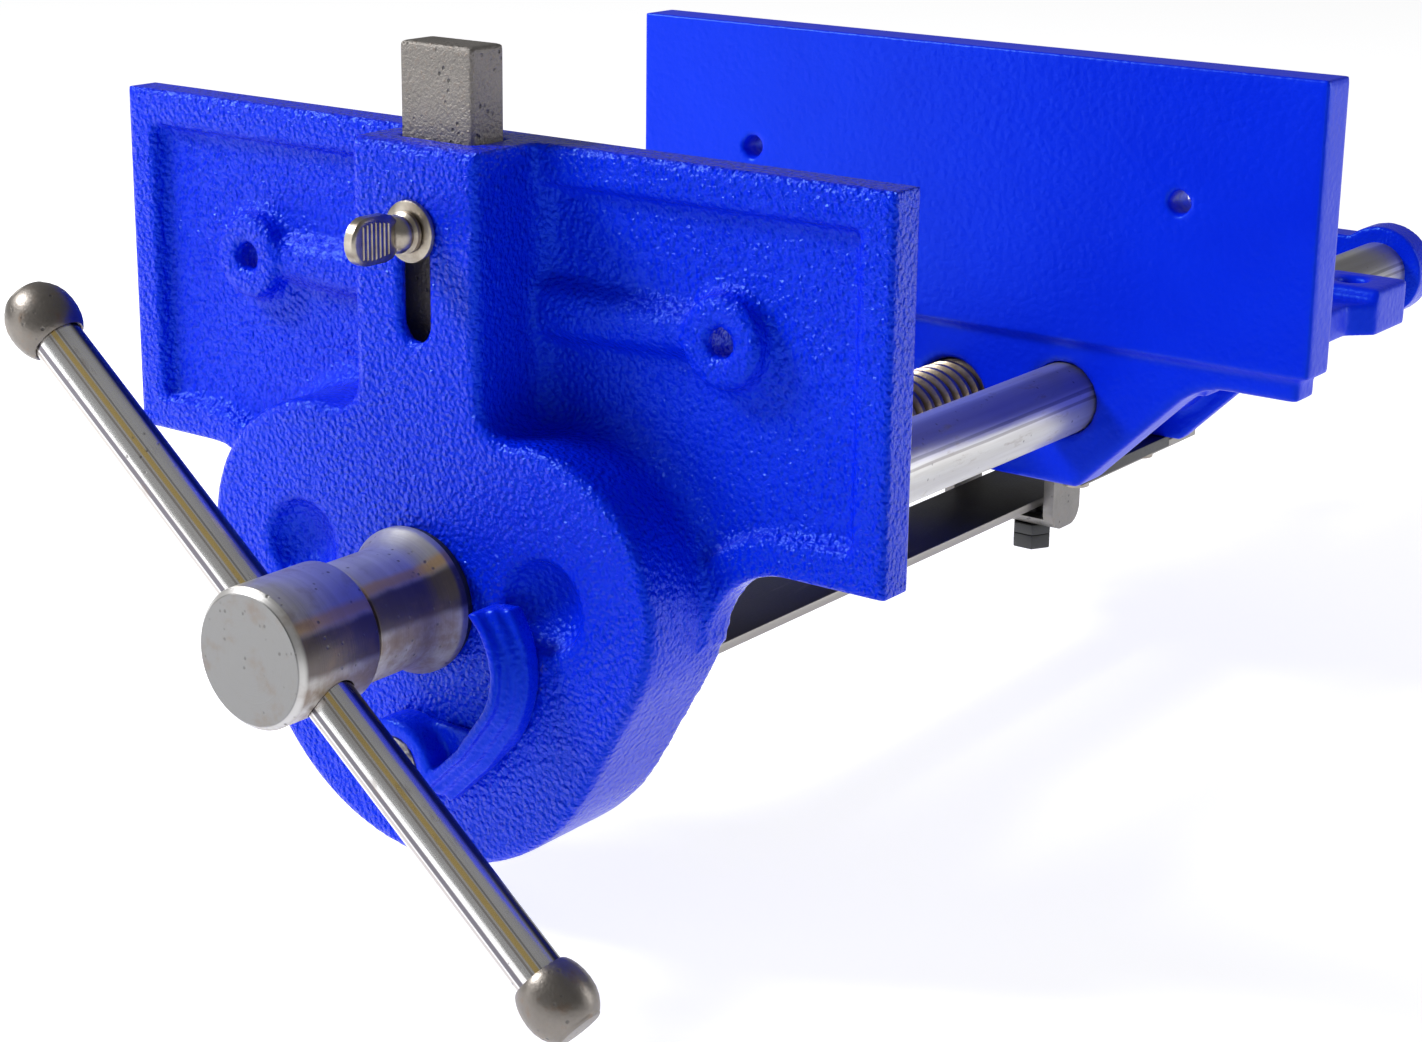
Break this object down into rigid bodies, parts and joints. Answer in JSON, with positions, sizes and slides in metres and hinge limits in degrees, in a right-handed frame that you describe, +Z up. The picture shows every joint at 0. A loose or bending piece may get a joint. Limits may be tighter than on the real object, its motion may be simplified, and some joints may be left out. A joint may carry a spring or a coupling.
{
  "type": "quick-release woodworking bench vise",
  "caption": "Under-bench woodworking vise with wide flat jaws, guide rods, main screw with sliding bar, quick-release trigger and rising dog.",
  "frame": {"origin": "centre of the four bench bolt holes, on the plane of the mounting pads (underside of the bench top)", "axes": "X along the jaws, +Y from the front jaw towards the rear jaw, +Z up"},
  "size_m": [0.267, 0.6334, 0.2304],
  "materials": {
    "blue_enamel": "semi-gloss",
    "turned_steel": "satin",
    "polished_steel": "polished",
    "forged_steel": "rough",
    "nickel_plate": "satin",
    "black_steel": "oiled",
    "bronze": "satin",
    "spring_steel": "satin"
  },
  "bodies": {
    "base": {"rear_jaw": "blue_enamel", "nut_plate": "black_steel", "plate_screws": "nickel_plate", "nut_springs": "spring_steel"},
    "front_jaw": {"front_jaw": "blue_enamel", "guide_rod_left": "polished_steel", "guide_rod_right": "polished_steel", "yoke": "blue_enamel", "yoke_bush": "bronze", "yoke_bolts": "black_steel", "yoke_washers": "nickel_plate", "thrust_washer": "bronze"},
    "screw": {"screw": "turned_steel", "retaining_collar": "turned_steel", "retaining_pin": "spring_steel", "end_collar": "turned_steel", "end_pin": "spring_steel"},
    "tommy_bar": {"tommy_bar": "polished_steel", "tommy_ball_upper": "forged_steel", "tommy_ball_lower": "forged_steel"},
    "dog": {"dog": "forged_steel", "dog_washer": "nickel_plate"},
    "thumb_screw": {"thumb_screw": "nickel_plate"},
    "trigger": {"trigger_lever": "blue_enamel", "trigger_shaft": "turned_steel", "trigger_pin": "spring_steel", "release_bar": "black_steel", "release_rivet": "spring_steel", "stop_pin": "spring_steel"},
    "half_nut": {"half_nut": "bronze", "nut_stirrup": "black_steel", "stirrup_screws": "spring_steel", "adjuster_locknut": "black_steel", "adjuster_bolt": "black_steel"}
  },
  "joints": [
    {"name": "jaw_slide", "type": "slide", "parent": "base", "child": "front_jaw", "axis": [0, 1, 0], "range_m": [-0.0926, 0.2374]},
    {"name": "screw_turn", "type": "hinge", "parent": "front_jaw", "child": "screw", "pos_m": [0, -0.4, -0.0292], "axis": [0, 1, 0], "range_deg": [-5554, 14242]},
    {"name": "tommy_slide", "type": "slide", "parent": "screw", "child": "tommy_bar", "axis": [0.7771, 0, -0.6293], "range_m": [-0.085, 0.085]},
    {"name": "dog_slide", "type": "slide", "parent": "front_jaw", "child": "dog", "axis": [0, 0, 1], "range_m": [-0.025, 0]},
    {"name": "thumb_turn", "type": "hinge", "parent": "dog", "child": "thumb_screw", "pos_m": [0, -0.38, 0.0713], "axis": [0, 1, 0], "range_deg": [-270, 0]},
    {"name": "trigger_pull", "type": "hinge", "parent": "front_jaw", "child": "trigger", "pos_m": [0, -0.37, -0.0745], "axis": [0, 1, 0], "range_deg": [0, 25], "stiffness_Nm_per_rad": 0.6, "springref_deg": -17.19},
    {"name": "half_nut_drop", "type": "slide", "parent": "base", "child": "half_nut", "axis": [0, 0, -1], "range_m": [0, 0.0049], "deforming": ["nut_springs"]}
  ],
  "couplings": [
    {"joint": "jaw_slide", "follows": "screw_turn", "m_per_rad": 0.00095493},
    {"joint": "half_nut_drop", "follows": "trigger_pull", "m_per_rad": 0.01122}
  ]
}
